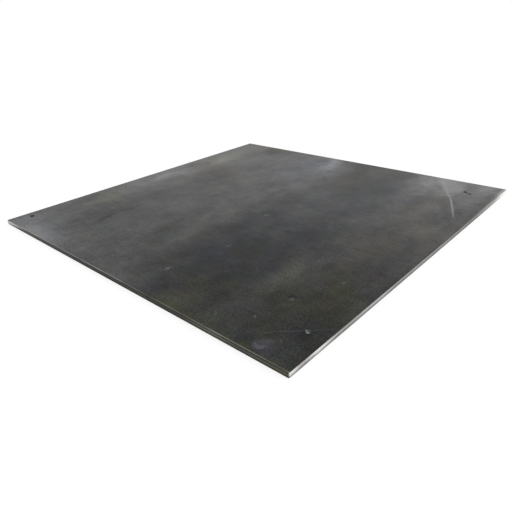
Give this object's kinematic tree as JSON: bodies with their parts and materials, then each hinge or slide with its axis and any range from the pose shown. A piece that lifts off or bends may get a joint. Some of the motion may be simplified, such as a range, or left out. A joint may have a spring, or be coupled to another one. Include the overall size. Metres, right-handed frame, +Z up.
{
  "type": "steel plate",
  "caption": "Flat square plate of hot-rolled mild steel with dark mill scale and sheared edges, lying flat, raw stock for cutting, drilling and welding.",
  "frame": {"origin": "middle of the lower face, on the surface that the plate lies on", "axes": "+Z up out of the upper face; X along the rolling direction and one pair of edges, Y along the other pair"},
  "size_m": [0.5, 0.5, 0.006],
  "materials": {
    "hot_rolled_steel": "dark oiled mill scale with a satin gloss, bare steel at the sheared edges"
  },
  "bodies": {
    "root": {"plate": "hot_rolled_steel"}
  },
  "joints": []
}
